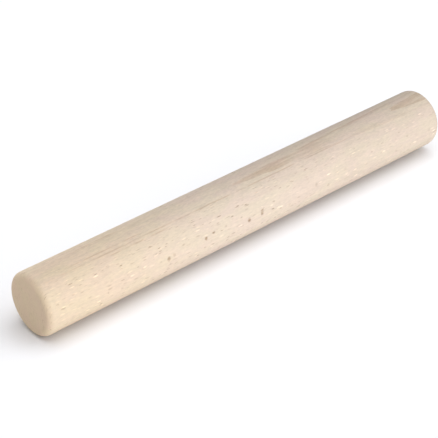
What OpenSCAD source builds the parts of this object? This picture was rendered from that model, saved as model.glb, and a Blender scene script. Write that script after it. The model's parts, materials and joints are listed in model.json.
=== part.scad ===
// Straight rolling pin without handles: one bar of beech, turned to a cylinder, with flat
// end faces and rounded end edges. It lies along X on the plane Z = 0, its middle over the
// origin, so the lowest line of the barrel touches that plane.

/* [Barrel] */
// Diameter of the rolling surface, the same from end to end
barrel_d = 50; // [30:1:80]
// Length from one end face to the other
barrel_l = 410; // [200:5:600]

/* [Ends] */
// Radius of the round-over between the barrel and each end face
edge_r = 5; // [1:0.5:12]

/* [Hidden] */
// Radius of the rolling surface, which is also the height of the axis above the table
barrel_r = barrel_d / 2;
// Radius of the flat disc that is left in the middle of each end face
face_r = barrel_r - edge_r;
// Length of the straight rolling surface between the two round-overs
rolling_l = barrel_l - 2 * edge_r;
// Pale, unvarnished beech
beech = "#EFDDC6";
// Facets of a full circle in the preview
$fn = 128;

// Section of the round-over: a quarter disc that fills the corner between face and barrel.
module round_over_section() {
    intersection() {
        circle(edge_r);
        square(edge_r);
    }
}

// Half of the lengthwise section, from the axis outwards: a core that reaches both end
// faces, the wider rolling surface in the middle, and a quarter disc in each corner.
module half_section() {
    translate([0, -barrel_l / 2])
        square([face_r, barrel_l]);
    translate([0, -rolling_l / 2])
        square([barrel_r, rolling_l]);
    for (end = [0, 1])
        mirror([0, end])
            translate([face_r, rolling_l / 2])
                round_over_section();
}

// The bar: the half section turned about its axis, then laid down along X.
module barrel() {
    color(beech)
        translate([0, 0, barrel_r])
            rotate([0, 90, 0])
                rotate_extrude()
                    half_section();
}

barrel();
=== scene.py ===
# %% [markdown]
# # A straight rolling pin in beech
#
# The object is one bar of wood, so the whole lesson is about two things: a turned shape that
# is plain but not dead, and a wood that runs right through it. A picture of planks wrapped
# round a cylinder would show a seam and the wrong pattern on the ends. Here the wood is a
# solid: every point inside the bar knows how far it is from the heart of the tree, and the
# surface only shows where the lathe cut through it.
#
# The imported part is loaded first. It fixes the size and the place of everything, and the bar
# made below only dresses it.

import json
import math

import bpy
from mathutils import Matrix, Vector


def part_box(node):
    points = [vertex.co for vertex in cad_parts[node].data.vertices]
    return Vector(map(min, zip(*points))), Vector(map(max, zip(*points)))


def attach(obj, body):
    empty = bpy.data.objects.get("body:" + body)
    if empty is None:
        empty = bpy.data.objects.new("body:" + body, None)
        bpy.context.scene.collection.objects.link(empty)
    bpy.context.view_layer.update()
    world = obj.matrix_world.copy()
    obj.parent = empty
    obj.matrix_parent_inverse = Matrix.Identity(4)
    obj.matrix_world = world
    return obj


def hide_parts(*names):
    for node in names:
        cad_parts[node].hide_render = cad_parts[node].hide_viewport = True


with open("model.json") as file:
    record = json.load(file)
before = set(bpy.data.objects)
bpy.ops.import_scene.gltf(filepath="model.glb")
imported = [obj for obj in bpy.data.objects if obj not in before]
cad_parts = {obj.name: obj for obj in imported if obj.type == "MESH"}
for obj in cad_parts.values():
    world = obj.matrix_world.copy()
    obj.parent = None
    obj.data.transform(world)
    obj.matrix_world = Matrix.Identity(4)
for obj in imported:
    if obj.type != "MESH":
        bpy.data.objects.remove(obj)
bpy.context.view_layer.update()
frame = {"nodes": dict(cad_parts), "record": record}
print("loaded nodes:", sorted(frame["nodes"]))

# %% [markdown]
# The sizes are read from the part, so that nothing has to be fitted by eye. The bar lies
# along X with its lowest line on the plane Z = 0. Its round-over can't be read from a box:
# the rolling surface is a mount of the record, and what its length leaves over at the two
# ends is the edge radius.

# %% Sizes of the bar
MM = 0.001
low_corner, high_corner = (Vector(corner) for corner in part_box("barrel"))
length = high_corner.x - low_corner.x
half_length = length / 2
rolling_surface = next(m for m in frame["record"]["mounts"] if m["name"] == "barrel")
radius = rolling_surface["dims"]["r_mm"] * MM
edge_radius = (length - rolling_surface["dims"]["length_mm"] * MM) / 2
print(f"the bar is {length / MM:.0f} mm long and {2 * radius / MM:.0f} mm across")
print(f"its edges are rounded over by {edge_radius / MM:.1f} mm")

# %% [markdown]
# ## The turned bar
#
# On the lathe the bar starts as a plain cylinder and its edges are rolled over with sandpaper.
# A spun profile would give the same shape, but the lathe's own steps are easier to follow: a
# cylinder is added at its size and place, its two rims are bevelled into a true quarter round,
# and the long faces are cut into short ones, because a face 400 mm long can't follow a surface
# that a hand has sanded.

# %% The blank
SIDES = 160
ALONG_X = (0, math.pi / 2, 0)

bpy.ops.object.select_all(action="DESELECT")
bpy.ops.mesh.primitive_cylinder_add(
    vertices=SIDES,
    radius=radius,
    depth=length,
    location=(0, 0, radius),
    rotation=ALONG_X,
)
pin = bpy.context.object
pin.name = pin.data.name = "beech_bar"
bpy.ops.object.transform_apply(location=True, rotation=True, scale=True)
print(f"a blank with {len(pin.data.polygons)} faces")


# %% Choosing edges and faces
def select_where(piece, parts, test):
    """Selects the edges or faces of a piece that pass a test, and stays in edit mode."""
    if bpy.context.object.mode == "EDIT":
        bpy.ops.object.mode_set(mode="OBJECT")
    mesh = piece.data
    for kind in (mesh.vertices, mesh.edges, mesh.polygons):
        kind.foreach_set("select", [False] * len(kind))
    chosen = [part for part in getattr(mesh, parts) if test(mesh, part)]
    for part in chosen:
        part.select = True
    in_edges = parts == "edges"
    bpy.context.scene.tool_settings.mesh_select_mode = (False, in_edges, not in_edges)
    bpy.context.view_layer.objects.active = piece
    bpy.ops.object.mode_set(mode="EDIT")
    return len(chosen)


def ends_of(mesh, edge):
    return [mesh.vertices[i].co for i in edge.vertices]


# %% The rounded edges
EDGE_SEGMENTS = 10
QUARTER_ROUND = 0.5
TOUCH = 0.01 * MM


def on_the_rim(mesh, edge):
    a, b = ends_of(mesh, edge)
    return abs(a.x) > half_length - TOUCH and abs(a.x - b.x) < TOUCH


rim_edges = select_where(pin, "edges", on_the_rim)
bpy.ops.mesh.bevel(
    offset=edge_radius,
    segments=EDGE_SEGMENTS,
    profile=QUARTER_ROUND,
    affect="EDGES",
)
print(f"{rim_edges} rim edges rounded over")

# %% Rings along the barrel
BARREL_CUTS = 99


def runs_lengthwise(mesh, edge):
    a, b = ends_of(mesh, edge)
    return abs(a.x - b.x) > half_length


long_edges = select_where(pin, "edges", runs_lengthwise)
bpy.ops.mesh.subdivide(number_cuts=BARREL_CUTS)
print(f"{long_edges} long edges cut into {BARREL_CUTS + 1} each")

# %% [markdown]
# Each end face is still one flat polygon with as many corners as the bar has sides. Insetting
# it again and again leaves rings of even faces, and a last poke closes the middle with a small
# fan, as the point of the lathe centre would. The rings give the flat face its own normals, so
# that the shading of the round-over doesn't run into it.

# %% Rings on the end faces
FACE_RINGS = 8


def is_end_face(mesh, face):
    return len(face.vertices) == SIDES


end_faces = select_where(pin, "polygons", is_end_face)
ring_width = (radius - edge_radius) / (FACE_RINGS + 1)
for ring in range(FACE_RINGS):
    bpy.ops.mesh.inset(thickness=ring_width, depth=0)
bpy.ops.mesh.poke()
bpy.ops.object.mode_set(mode="OBJECT")
bpy.ops.object.shade_smooth()
print(f"{end_faces} end faces, now {len(pin.data.polygons)} faces on the bar")

# %% [markdown]
# Where the bar is used as a plain model, its wood has to be baked into a picture. The best
# layout for that is the one of a veneer: the barrel with its rounded edges is one strip, slit
# along the lower back, and the two end faces are discs above it. An unwrap would put its seams
# where it likes. This layout is made while the bar is still an exact shape, because a place on
# it then follows from its angle and its distance alone.

# %% Where a point lies on the strip or on a disc
SLIT = math.radians(-135)
STRIP_HEIGHT = 0.78
DISC = 0.2
DISC_PLACES = {-1: (0.11, 0.89), 1: (0.33, 0.89)}

straight = half_length - edge_radius
strip_length = 2 * (straight + edge_radius * math.pi / 2)
disc_scale = DISC / (2 * (radius - edge_radius))


def turns_from_slit(point):
    """How far round the bar a point is, from 0 at the slit to 1 where it gets back to it."""
    angle = math.atan2(-point.y, point.z - radius)
    return (angle - SLIT) / (2 * math.pi) % 1


def way_along(point):
    """How far a point is from the middle of the bar, measured over its rounded edge."""
    round_part = min(max(abs(point.x) - straight, 0) / edge_radius, 1)
    way = min(abs(point.x), straight) + edge_radius * math.asin(round_part)
    return math.copysign(way, point.x)


def on_strip(point, face_turns):
    """The place of a corner on the strip, on the same side of the slit as its face."""
    turns = turns_from_slit(point)
    turns += round(face_turns - turns)
    return turns, STRIP_HEIGHT * (way_along(point) / strip_length + 0.5)


def on_disc(point):
    middle = DISC_PLACES[round(math.copysign(1, point.x))]
    return middle[0] + disc_scale * point.y, middle[1] + disc_scale * (point.z - radius)


# %% The layout for the bake
layout = pin.data.uv_layers.active
layout.name = "OFBake"
for face in pin.data.polygons:
    corners = [pin.data.vertices[i].co for i in face.vertices]
    flat_end = min(abs(corner.x) for corner in corners) > half_length - TOUCH
    face_turns = turns_from_slit(face.center)
    for loop, corner in zip(face.loop_indices, corners):
        layout.data[loop].uv = on_disc(corner) if flat_end else on_strip(corner, face_turns)
widest_turn = max(corner.uv.x for corner in layout.data)
print(f"laid out for the bake, from the slit and back in {widest_turn:.3f} turns")

# %% [markdown]
# Sandpaper never leaves a perfect cylinder. Soft hollows of at most a tenth of a millimetre
# bend the light a little along the barrel, and that is enough to tell turned wood from a
# plastic pipe. A bump in the material would bend the light too, but not the outline. The
# hollows only ever take wood away, so the bar stays inside the part's own box.

# %% The hand-sanded surface
SANDING_DEPTH = 0.1 * MM
SANDING_SPAN = 34 * MM
SANDING_DETAIL = 1
ONLY_INWARDS = 1.0

hollows = bpy.data.textures.new("sanding_hollows", type="CLOUDS")
hollows.noise_scale = SANDING_SPAN
hollows.noise_depth = SANDING_DETAIL
sanding = pin.modifiers.new("sanding", "DISPLACE")
sanding.texture = hollows
sanding.texture_coords = "LOCAL"
sanding.strength = SANDING_DEPTH
sanding.mid_level = ONLY_INWARDS
bpy.context.view_layer.objects.active = pin
bpy.ops.object.modifier_apply(modifier=sanding.name)
bpy.data.textures.remove(hollows)
widest = max((Vector((0, v.co.y, v.co.z - radius))).length for v in pin.data.vertices)
print(f"widest radius after sanding: {widest / MM:.3f} mm")

# %% [markdown]
# ## Beech, all the way through
#
# A tree grows a ring a year around its heart, and a bar is cut from the trunk at some distance
# from that heart. If the material knows where the heart ran, the rest follows by itself: long
# near-parallel lines where the lathe cut across the rings, pointed flames where it only
# brushed one, and arcs on the two ends. The material is a graph of shader nodes, and such a
# graph is wordy, so a few short words for nodes come first.

# %% Short words for nodes
# The Mix node has sockets for every kind of value. Those for colours have these numbers.
MIX_FACTOR, MIX_FIRST, MIX_SECOND, MIX_RESULT = 0, 6, 7, 2


def node(tree, kind, inputs, **settings):
    """Adds a shader node. Each input is given a plain value or another node's output."""
    made = tree.nodes.new("ShaderNode" + kind)
    for name, value in settings.items():
        setattr(made, name, value)
    for name, value in inputs.items():
        if isinstance(value, bpy.types.NodeSocket):
            tree.links.new(value, made.inputs[name])
        else:
            made.inputs[name].default_value = value
    return made


def calc(tree, operation, *values):
    return node(tree, "Math", dict(enumerate(values)), operation=operation).outputs[0]


def product(tree, first, *others):
    """All the values multiplied with each other."""
    for other in others:
        first = calc(tree, "MULTIPLY", first, other)
    return first


def shift(tree, place, by):
    return node(tree, "VectorMath", {0: place, 1: by}, operation="ADD").outputs[0]


# %% Slopes and tints
def step(tree, value, start, end):
    """0 up to start, 1 from end on, and a smooth slope between the two."""
    inputs = {"Value": value, "From Min": start, "From Max": end}
    return node(tree, "MapRange", inputs, interpolation_type="SMOOTHSTEP").outputs[0]


def between(tree, amount, low, high):
    """Goes from low to high as the amount goes from 0 to 1."""
    return calc(tree, "MULTIPLY_ADD", amount, high - low, low)


def tint(tree, amount, base, colour, way="MULTIPLY"):
    """Lays a colour over another, by an amount from 0 to 1."""
    inputs = {MIX_FACTOR: amount, MIX_FIRST: base, MIX_SECOND: colour}
    return node(tree, "Mix", inputs, data_type="RGBA", blend_type=way).outputs[MIX_RESULT]


# %% Noise with a size in millimetres
NOISE_MIDDLE = 0.5
NOISE_DETAIL = 2.0


def cells(tree, place, size):
    """Counts a place in boxes of the given size."""
    return node(tree, "Mapping", {"Vector": place, "Scale": [1 / side for side in size]}).outputs[0]


def noise(tree, place, size, detail=NOISE_DETAIL, result="Fac"):
    """Soft noise around its middle, mostly 0.3 to 0.7, in blobs about as large as size."""
    inputs = {"Vector": cells(tree, place, size), "Scale": 1.0, "Detail": detail}
    return node(tree, "TexNoise", inputs).outputs[result]


def swing(tree, value, reach):
    """Turns a noise into one that swings as far as reach to both sides of 0."""
    return calc(tree, "MULTIPLY_ADD", value, reach / NOISE_MIDDLE, -reach)


# %% [markdown]
# The first step of the wood turns a point of the bar into its place in the log: how far along
# the trunk, how far from the heart and how far round it.
#
# The photographed bar has its flames on top, with their points towards the near end. That
# puts the heart above the bar, a little to the front, and coming nearer towards the far end.
# The flames follow each other closer on the far half, so the trunk was bowed a little as well.

# %% Where the heart of the tree ran
HEART_DISTANCE = 85.0
HEART_ANGLE = math.radians(11)
NEARING = 0.0104
DRIFT = 0.003

to_heart = Vector((0, -math.sin(HEART_ANGLE), math.cos(HEART_ANGLE)))
round_the_bar = Vector((0, -math.cos(HEART_ANGLE), -math.sin(HEART_ANGLE)))
along = (Vector((1, 0, 0)) - NEARING * to_heart + DRIFT * round_the_bar).normalized()
outward = -(to_heart - to_heart.dot(along) * along).normalized()
into_log = Matrix((along, outward.cross(along), outward))
heart = Vector((0, 0, radius / MM)) + HEART_DISTANCE * to_heart
lean = math.degrees(along.angle(Vector((1, 0, 0))))
print(f"the heart ran {HEART_DISTANCE:.0f} mm from the bar's axis, and leaned {lean:.2f} degrees")

# %% A place in the log
BOW = 0.000031


def place_in_log(tree):
    """Object coordinates in mm, turned so that X runs up the trunk, from the heart."""
    turned = {
        "Vector": node(tree, "TexCoord", {}).outputs["Object"],
        "Location": -(into_log @ heart),
        "Rotation": into_log.to_euler(),
        "Scale": (1 / MM, 1 / MM, 1 / MM),
    }
    return node(tree, "Mapping", turned).outputs[0]


def distances(tree, log):
    """How far a place is up the trunk, from the heart and round the heart, all in mm."""
    part = node(tree, "SeparateXYZ", {"Vector": log}).outputs
    squares = [calc(tree, "MULTIPLY", part[side], part[side]) for side in range(3)]
    from_heart = calc(tree, "SQRT", calc(tree, "ADD", squares[1], squares[2]))
    bowed = calc(tree, "MULTIPLY_ADD", squares[0], -BOW, from_heart)
    angle = calc(tree, "ARCTAN2", part[1], part[2])
    return part[0], bowed, calc(tree, "MULTIPLY", angle, HEART_DISTANCE)


near_side = HEART_DISTANCE - radius / MM
print(f"in the middle, the bar came to within {near_side:.0f} mm of the heart")

# %% [markdown]
# A beech ring is 2 to 3 mm wide. It starts pale in spring and ends in a thin, slightly redder
# line of dense autumn wood, and the next ring starts pale again at once. No tree is a perfect
# set of pipes, so slow and quick waves push the rings in and out before they are counted. Each
# ring also gets its own number, and a random shade from it, as dry years grow darker wood, and
# along a ring the dark wood comes and goes in patches.
#
# In this trunk the young rings near the heart are the darkest, and that is why the flames
# stand out on top of the bar and the lines down its front hardly show. The rings are also
# paler on the side of the trunk that became the front.

# %% The growth rings
RING_WIDTH = 2.72
RING_START = 0.846
SLOW_WAVE, SLOW_WAVE_SIZE = 0.5, (110, 26, 26)
QUICK_WAVE, QUICK_WAVE_SIZE = 0.30, (22, 3, 3)
AUTUMN_STARTS, AUTUMN_FULL, AUTUMN_ENDS, YEAR_ENDS = 0.30, 0.95, 0.99, 1.0
DARK_YEARS_UNTIL, EVEN_YEARS_FROM = 60.6, 61.8
EVEN_YEARS_SHADE = 0.26
DARK_SIDE_UNTIL, PALE_SIDE_FROM = 5.0, 10.0
PALE_SIDE_SHADE = 0.35
YEAR_SHADES = (0.6, 1.4)
PATCHES_OF_SHADE = (40, 3, 3)
PATCH_STARTS, PATCH_FULL = 0.3, 0.6


def rings(tree, log, out, around):
    """How much autumn wood there is at a place, in the shade of its ring."""
    slow = swing(tree, noise(tree, log, SLOW_WAVE_SIZE), SLOW_WAVE)
    quick = swing(tree, noise(tree, log, QUICK_WAVE_SIZE), QUICK_WAVE)
    wavy = calc(tree, "ADD", out, calc(tree, "ADD", slow, quick))
    count = calc(tree, "MULTIPLY_ADD", wavy, 1 / RING_WIDTH, RING_START)
    year, number = calc(tree, "FRACT", count), calc(tree, "FLOOR", count)
    chance = node(tree, "TexWhiteNoise", {"W": number}, noise_dimensions="1D").outputs["Value"]
    dark_years = step(tree, out, EVEN_YEARS_FROM, DARK_YEARS_UNTIL)
    dark_side = step(tree, around, PALE_SIDE_FROM, DARK_SIDE_UNTIL)
    return product(
        tree,
        step(tree, year, AUTUMN_STARTS, AUTUMN_FULL),
        step(tree, year, YEAR_ENDS, AUTUMN_ENDS),
        between(tree, dark_years, EVEN_YEARS_SHADE, 1.0),
        between(tree, dark_side, PALE_SIDE_SHADE, 1.0),
        between(tree, chance, *YEAR_SHADES),
        step(tree, noise(tree, log, PATCHES_OF_SHADE), PATCH_STARTS, PATCH_FULL),
    )


print(f"about {2 * radius / MM / RING_WIDTH:.0f} rings cross the bar")

# %% [markdown]
# What makes beech look like beech is its rays: thin ribbons of brown cells that run from the
# heart outwards. They could be strewn over the surface as small pictures, but then they would
# have to be drawn again for each side of the bar. Here they are lens shapes in the log's own
# directions, and the lathe cuts them as it may. All are thin round the heart. The fine ones
# are long in line with the grain and show as short dashes. The bold ones reach further towards
# the bark, and where the bar's surface runs along them, low on its front, they are wider
# flecks. Beside each fine ray a pale spot is painted into the colour: a painted highlight, where
# the fibres that part round a ray would catch the light. Rays also come in crowds.
#
# The bold rays are moved a fraction of a millimetre round the heart, until a row of them is
# cut low on the front of the near half, where the photographed bar has its darkest flecks.

# %% The rays
FINE_RAYS = (10.5, 3.2, 1.3)
BOLD_RAYS = (7.2, 10.0, 0.85)
BOLD_ROW = (0.0, 0.0, 0.22)
RAY_SHARE = 0.9
RAY_CORE, RAY_EDGE = 0.10, 0.30
BESIDE_A_RAY = (0.8, 0.0, 0.9)
RAGGED, RAGGED_SIZE, RAGGED_DETAIL = (1.2, 1.2, 0.3), (2.5, 1.5, 1.5), 1.0
CROWDS = (24, 8, 5)
CROWD_STARTS, CROWD_FULL = 0.42, 0.62


def roughly(tree, log, up_trunk, out, around):
    """The place round the heart, pushed about a little so that no lens is a clean one."""
    place = node(tree, "CombineXYZ", {0: up_trunk, 1: out, 2: around}).outputs[0]
    push = noise(tree, log, RAGGED_SIZE, RAGGED_DETAIL, "Color")
    push = shift(tree, push, 3 * (-NOISE_MIDDLE,))
    push = node(tree, "VectorMath", {0: push, 1: RAGGED}, operation="MULTIPLY").outputs[0]
    return shift(tree, place, push)


def lenses(tree, place, spacing):
    """1 inside lens-shaped spots, one to a cell, in a large share of the cells."""
    spot = node(tree, "TexVoronoi", {"Vector": cells(tree, place, spacing), "Scale": 1.0})
    chance = node(tree, "SeparateColor", {"Color": spot.outputs["Color"]}).outputs[0]
    shown = step(tree, chance, 1 - RAY_SHARE, 1.0)
    return calc(tree, "MULTIPLY", step(tree, spot.outputs["Distance"], RAY_EDGE, RAY_CORE), shown)


print(f"fine rays run up to {2 * RAY_EDGE * FINE_RAYS[0]:.1f} mm with the grain")
print(f"bold rays reach up to {2 * RAY_EDGE * BOLD_RAYS[1]:.1f} mm towards the bark")

# %% [markdown]
# The photographed bar also has a thin brown thread on its upper front, from the near end to
# past the middle, with two short ones beside it and a third one behind the top. Such threads
# are minerals that the tree carried up along its fibres, so here they are lines that keep
# their angle round the heart, and begin and end at a place up the trunk.

# %% The brown threads
THREAD_HALF_WIDTH = 1.1
THREAD_WANDER, THREAD_WANDER_SIZE = 0.7, (70, 30, 30)
THREAD_BREAKS = (16, 4, 4)
THREAD_BROKEN, THREAD_WHOLE = 0.35, 0.6
THREAD_FADE = 12.0
THREADS = (
    {"around": 9.3, "starts": -200.0, "ends": 112.0},
    {"around": -11.2, "starts": -162.0, "ends": -118.0},
    {"around": 5.2, "starts": -190.0, "ends": -105.0},
    {"around": 12.6, "starts": -150.0, "ends": -82.0},
)


def threads(tree, log, up_trunk, around):
    """How much of a brown thread there is at a place."""
    wander = swing(tree, noise(tree, log, THREAD_WANDER_SIZE), THREAD_WANDER)
    line = calc(tree, "ADD", around, wander)
    unbroken = step(tree, noise(tree, log, THREAD_BREAKS), THREAD_BROKEN, THREAD_WHOLE)
    total = 0.0
    for thread in THREADS:
        off_line = calc(tree, "ABSOLUTE", calc(tree, "SUBTRACT", line, thread["around"]))
        here = product(
            tree,
            step(tree, off_line, THREAD_HALF_WIDTH, 0.0),
            step(tree, up_trunk, thread["starts"], thread["starts"] + THREAD_FADE),
            step(tree, up_trunk, thread["ends"], thread["ends"] - THREAD_FADE),
            unbroken,
        )
        total = calc(tree, "ADD", total, here)
    return total


longest = max(thread["ends"] - thread["starts"] for thread in THREADS)
print(f"{len(THREADS)} threads, the longest of {longest:.0f} mm")

# %% [markdown]
# The colours start from unfinished steamed beech: a pale cream that turns slightly rose in
# patches. Towards the near end the colour is made slightly warmer, more honey. Everything brown
# is multiplied in, because on a real bar it is the same wood with more pigment. The end faces
# are a little darker, because open fibres swallow light.


# %% Colours
def srgb(red, green, blue):
    """A colour in the 0 to 255 steps of a paint chart, as the linear light of a shader."""
    full, foot, foot_slope, offset, power = 255, 0.04045, 12.92, 0.055, 2.4
    linear = []
    for channel in (red, green, blue):
        s = channel / full
        linear.append(s / foot_slope if s <= foot else ((s + offset) / (1 + offset)) ** power)
    return linear + [1]


CREAM = srgb(239, 223, 203)
ROSE = srgb(240, 221, 205)
HONEY = srgb(255, 251, 241)
AUTUMN = srgb(237, 228, 220)
RAY_BROWN = srgb(190, 170, 150)
THREAD_BROWN = srgb(238, 230, 222)
END_GRAIN = srgb(245, 241, 236)
print("the cream in linear light:", [round(channel, 2) for channel in CREAM[:3]])

# %% [markdown]
# The material is put together from these parts. First come the marks themselves, as plain
# numbers that say where a mark is and nothing about its colour: 0 where there is none, and
# about 1 where it is full.

# %% Where the marks are
beech = bpy.data.materials.new("sanded_beech")
beech.use_nodes = True
tree = beech.node_tree
shader = tree.nodes["Principled BSDF"]

log = place_in_log(tree)
up_trunk, out, around = distances(tree, log)
autumn = rings(tree, log, out, around)
ragged = roughly(tree, log, up_trunk, out, around)
fine_rays = lenses(tree, ragged, FINE_RAYS)
# Pale spots beside the fine rays: painted highlights where the fibres would catch the light.
painted_glints_beside_rays = lenses(tree, shift(tree, ragged, BESIDE_A_RAY), FINE_RAYS)
bold_rays = lenses(tree, shift(tree, ragged, BOLD_ROW), BOLD_RAYS)
crowd = step(tree, noise(tree, log, CROWDS), CROWD_STARTS, CROWD_FULL)
thread = threads(tree, log, up_trunk, around)
print("nodes for the marks:", len(tree.nodes))

# %% [markdown]
# Then it is said how strongly they show. On top of the photographed bar, where it is cut flat
# to the rings, the rays hardly show and the fibres show more. The rays also get paler towards
# the far end, and on the end face little is left of streaks and rings.

# %% How strongly the marks show
FLAT_CUT_UNTIL, SIDE_CUT_FROM = 8.0, 20.0
FLAT_CUT_RAYS, FLAT_CUT_FIBRES = 0.35, 1.4
PALER_RAYS, DARKER_RAYS_UNTIL, PALER_RAYS_FROM = 0.5, 0.0, 110.0
GRAIN_ON_ENDS = 0.25

flat_cut = step(tree, calc(tree, "ABSOLUTE", around), SIDE_CUT_FROM, FLAT_CUT_UNTIL)
rays_shown = between(tree, flat_cut, 1.0, FLAT_CUT_RAYS)
darker_part = step(tree, up_trunk, PALER_RAYS_FROM, DARKER_RAYS_UNTIL)
pigment = calc(tree, "MULTIPLY", between(tree, darker_part, PALER_RAYS, 1.0), rays_shown)

spot = node(tree, "TexCoord", {}).outputs["Object"]
from_middle = calc(tree, "ABSOLUTE", node(tree, "SeparateXYZ", {"Vector": spot}).outputs[0])
past_barrel = calc(tree, "SUBTRACT", from_middle, straight)
end_on = node(tree, "Clamp", {"Value": calc(tree, "DIVIDE", past_barrel, edge_radius)}).outputs[0]
side_on = calc(tree, "SUBTRACT", 1.0, end_on)
grain_strength = between(tree, side_on, GRAIN_ON_ENDS, 1.0)
print(f"the bar turns end on from {straight / MM:.0f} mm to {half_length / MM:.0f} mm")

# %% [markdown]
# At last the colours are laid over each other, from the large and soft ones to the small and
# sharp ones: patches of rose, the honey of the near end, the rings, the light and dark streaks
# of the fibres with the painted highlights beside the fine rays, the rays, the threads, and the
# darker end faces.

# %% Cream, rose, honey and rings
ROSE_PATCHES = (26, 12, 12)
ROSE_STARTS, ROSE_FULL = 0.35, 0.65
HONEY_UNTIL, NO_HONEY_FROM = -190.0, -20.0

rosy = step(tree, noise(tree, log, ROSE_PATCHES), ROSE_STARTS, ROSE_FULL)
honey = step(tree, up_trunk, NO_HONEY_FROM, HONEY_UNTIL)
colour = tint(tree, rosy, CREAM, ROSE, "MIX")
colour = tint(tree, honey, colour, HONEY)
colour = tint(tree, calc(tree, "MULTIPLY", autumn, grain_strength), colour, AUTUMN)
print(f"the honey fades from {HONEY_UNTIL:.0f} mm to {NO_HONEY_FROM:.0f} mm up the trunk")

# %% Light and dark streaks
FIBRES, FIBRE_SHADE, FIBRE_DETAIL = (16, 2.6, 2.6), 0.09, 3.0
HAIRS, HAIR_SHADE = (3.2, 1.2, 1.2), 0.11
# How strongly the painted highlights beside the rays lighten the colour.
PAINTED_GLINT_SHADE = (0.14, 0.42)

fibres = swing(tree, noise(tree, log, FIBRES, FIBRE_DETAIL), FIBRE_SHADE)
hairs = swing(tree, noise(tree, log, HAIRS), HAIR_SHADE)
fibres_and_hairs = calc(tree, "ADD", fibres, hairs)
flat_cut_boost = between(tree, flat_cut, 1.0, FLAT_CUT_FIBRES)
streaks = calc(tree, "MULTIPLY", fibres_and_hairs, flat_cut_boost)
# Painted highlights: the colour is lightened in the spots beside the fine rays.
pale = product(tree, painted_glints_beside_rays, between(tree, crowd, *PAINTED_GLINT_SHADE), rays_shown)
light = calc(tree, "ADD", streaks, pale)
light = calc(tree, "MULTIPLY_ADD", light, grain_strength, 1.0)
grey = node(tree, "CombineColor", {0: light, 1: light, 2: light}).outputs[0]
colour = tint(tree, 1.0, colour, grey)
most_shade = FLAT_CUT_FIBRES * (FIBRE_SHADE + HAIR_SHADE)
print(f"the streaks shade the wood by {most_shade:.0%} at most")

# %% Rays, threads and end faces
FINE_RAY_SHADE = (0.26, 0.82)
BOLD_RAY_SHADE = (0.35, 1.0)

for rays, shade in ((fine_rays, FINE_RAY_SHADE), (bold_rays, BOLD_RAY_SHADE)):
    amount = product(tree, rays, between(tree, crowd, *shade), pigment)
    colour = tint(tree, amount, colour, RAY_BROWN)
colour = tint(tree, thread, colour, THREAD_BROWN)
colour = tint(tree, end_on, colour, END_GRAIN)
tree.links.new(colour, shader.inputs["Base Color"])
print("nodes with the colours:", len(tree.nodes))

# %% [markdown]
# Sanded beech without varnish is nearly matt. The rays are a little smoother than the wood
# round them, which is why they glint on a real bar, and the cut ends are rougher. The saw and
# the sandpaper leave the fibres standing a few hundredths of a millimetre high, so the same
# noises that shade the wood also lift it.

# %% How it shines and how it feels
ROUGHNESS = (0.58, 0.50)
ROUGHER_ENDS = 0.12
SHINE = 0.3
RAY_LIFT = 0.1
GRAIN_HEIGHT = 0.05 * MM

rough = between(tree, calc(tree, "MULTIPLY", fine_rays, side_on), *ROUGHNESS)
rough = calc(tree, "MULTIPLY_ADD", end_on, ROUGHER_ENDS, rough)
tree.links.new(rough, shader.inputs["Roughness"])
shader.inputs["Specular IOR Level"].default_value = SHINE
raised = calc(tree, "ADD", fibres_and_hairs, calc(tree, "MULTIPLY", fine_rays, RAY_LIFT))
grain = node(tree, "Bump", {"Height": raised, "Distance": GRAIN_HEIGHT, "Strength": 1.0})
tree.links.new(grain.outputs["Normal"], shader.inputs["Normal"])
print("nodes in the beech:", len(tree.nodes))

# %% The bar takes the place of the plain one
pin.data.materials.append(beech)
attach(pin, "root")
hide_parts("barrel")
print(f"{pin.name} is made of {pin.data.materials[0].name}")

# %% [markdown]
# ## The white table and the white room
#
# The photograph has a pure white ground with one soft shadow along the front of the bar. A
# white table gives both. It is a shade bluer than the bar, because the light that the wood
# throws on it would otherwise turn the shadow brown, and the photographed shadow is grey.
#
# That tint is only for the eye: for the camera, and for whatever mirrors the table or lets it
# through. The light that goes back up to the bar comes from a neutral pale grey. In the same
# way the room is pure white to the eye and gives only a dim, even light, so that the bar's own
# shades are left to the lamps.


# %% What only the eye sees
def seen_rays(tree):
    """1 for a ray from the camera, or one that a shine or a glass sends on, and 0 for light."""
    path = node(tree, "LightPath", {}).outputs
    seen = calc(tree, "MAXIMUM", path["Is Camera Ray"], path["Is Glossy Ray"])
    return calc(tree, "MAXIMUM", seen, path["Is Transmission Ray"])


# %% The table top
FLOOR_SIZE = 8.0
TABLE_WHITE = (0.76, 0.76, 0.76, 1)
TABLE_SEEN = (0.94, 0.95, 0.985, 1)

bpy.ops.object.select_all(action="DESELECT")
bpy.ops.mesh.primitive_plane_add(size=FLOOR_SIZE)
floor = bpy.context.object
floor.name = "table_top"
white = bpy.data.materials.new("white_table")
white.use_nodes = True
tree = white.node_tree
tree.nodes.clear()
white_or_tinted = tint(tree, seen_rays(tree), TABLE_WHITE, TABLE_SEEN, "MIX")
paint = node(tree, "BsdfDiffuse", {"Color": white_or_tinted})
node(tree, "OutputMaterial", {"Surface": paint.outputs[0]})
floor.data.materials.append(white)
print(f"a table top {FLOOR_SIZE:.0f} m wide")

# %% The white room
ROOM_WHITE = (1, 1, 1, 1)
ROOM_LIGHT = 0.28
ROOM_SEEN = 1.0

world = bpy.data.worlds.new("white_room")
bpy.context.scene.world = world
world.use_nodes = True
tree = world.node_tree
room = tree.nodes["Background"]
room.inputs["Color"].default_value = ROOM_WHITE
room_strength = between(tree, seen_rays(tree), ROOM_LIGHT, ROOM_SEEN)
tree.links.new(room_strength, room.inputs["Strength"])
print(f"the room is {ROOM_SEEN:.2f} to the eye and {ROOM_LIGHT:.2f} as light")

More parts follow.
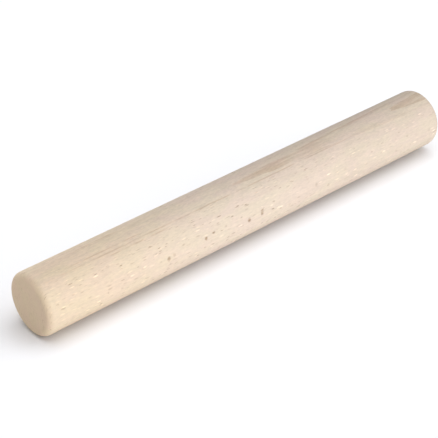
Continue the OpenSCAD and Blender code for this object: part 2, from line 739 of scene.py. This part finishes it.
# %% [markdown]
# ## The lamps
#
# In the studio one bank of light stood in front of the bar, so the front is its brightest side
# and the top is darker. A small panel behind the near end and one in front of it make the bar
# a little brighter there. The white table throws light up to the underside.
#
# The shadow tells of other lamps: it is soft and lies in front of the bar, although the bar is
# brightest there. So the table was lit mostly from above, and a little from the far end and
# from the corner between that end and the front. No lamp can do both, so each one is told
# which of the two it lights.


# %% What a lamp may light
def group_of(name, *members):
    group = bpy.data.collections.new(name)
    for member in members:
        group.objects.link(member)
    return group


def lamp_for(lights, data, place, towards):
    """Hangs a lamp that shines from a place along a direction, on one group of things."""
    lamp = bpy.data.objects.new(data.name, data)
    bpy.context.collection.objects.link(lamp)
    lamp.location = place
    lamp.rotation_euler = (-Vector(towards)).to_track_quat("Z", "Y").to_euler()
    lamp.light_linking.receiver_collection = lights
    return lamp


the_pin = group_of("lit_pin", pin)
the_table = group_of("lit_table", floor)
print("groups to be lit:", the_pin.name, "and", the_table.name)

# %% Far and soft lamps
SPREAD = math.radians(60)
FAR_LAMPS = {
    "front_bank": {"lights": the_pin, "azimuth": 0, "elevation": 40, "strength": 1.62},
    "table_above": {"lights": the_table, "azimuth": 0, "elevation": 90, "strength": 1.6},
    "table_side": {"lights": the_table, "azimuth": 45, "elevation": 20, "strength": 1.5},
    "table_far": {"lights": the_table, "azimuth": 90, "elevation": 50, "strength": 0.54},
}


def far_lamp(name, lights, azimuth, elevation, strength):
    """Azimuth 0 shines from the front, -Y, and grows towards the far end, +X."""
    data = bpy.data.lights.new(name, "SUN")
    data.energy = strength
    data.angle = SPREAD
    a, e = math.radians(azimuth), math.radians(elevation)
    source = Vector((math.sin(a) * math.cos(e), -math.cos(a) * math.cos(e), math.sin(e)))
    return lamp_for(lights, data, source, -source)


for name, settings in FAR_LAMPS.items():
    far_lamp(name, **settings)
print("far lamps:", ", ".join(FAR_LAMPS))

# %% Near panels
NEAR_PART = Vector((-0.12, 0, 0.03))
PANELS = {
    "rear_panel": {"place": (-0.20, 0.20, 0.12), "size": 0.15, "power": 0.19},
    "front_panel": {"place": (-0.25, -0.35, 0.12), "size": 0.20, "power": 0.145},
}


def panel(name, place, size, power):
    """A square panel that lights the bar alone and is aimed at its near part."""
    data = bpy.data.lights.new(name, "AREA")
    data.shape = "SQUARE"
    data.size = size
    data.energy = power
    return lamp_for(the_pin, data, place, NEAR_PART - Vector(place))


for name, settings in PANELS.items():
    panel(name, **settings)
print("near panels:", ", ".join(PANELS))

# %% [markdown]
# ## The camera
#
# The photographer stood to the left of the front, a good metre away, and looked down at a
# slant. The place and the lens below were fitted to the outline of the bar and to that of its
# near end face. The lens is a long one, because the two long edges of the bar run nearly
# parallel in the photograph.

# %% The camera
CAMERA_AZIMUTH = math.radians(-41.57)
CAMERA_ELEVATION = math.radians(33.57)
CAMERA_DISTANCE = 1.1153
AIM = Vector((-0.01917, 0.00701, 0.01373))
LENS = 116.5

back = Vector((
    math.sin(CAMERA_AZIMUTH) * math.cos(CAMERA_ELEVATION),
    -math.cos(CAMERA_AZIMUTH) * math.cos(CAMERA_ELEVATION),
    math.sin(CAMERA_ELEVATION),
))
camera_data = bpy.data.cameras.new("camera")
camera_data.lens = LENS
camera = bpy.data.objects.new("camera", camera_data)
bpy.context.collection.objects.link(camera)
camera.location = AIM + back * CAMERA_DISTANCE
camera.rotation_euler = back.to_track_quat("Z", "Y").to_euler()
bpy.context.scene.camera = camera
bpy.context.scene.view_settings.view_transform = "Standard"
print(f"the camera stands {camera.location.z / MM:.0f} mm above the table")
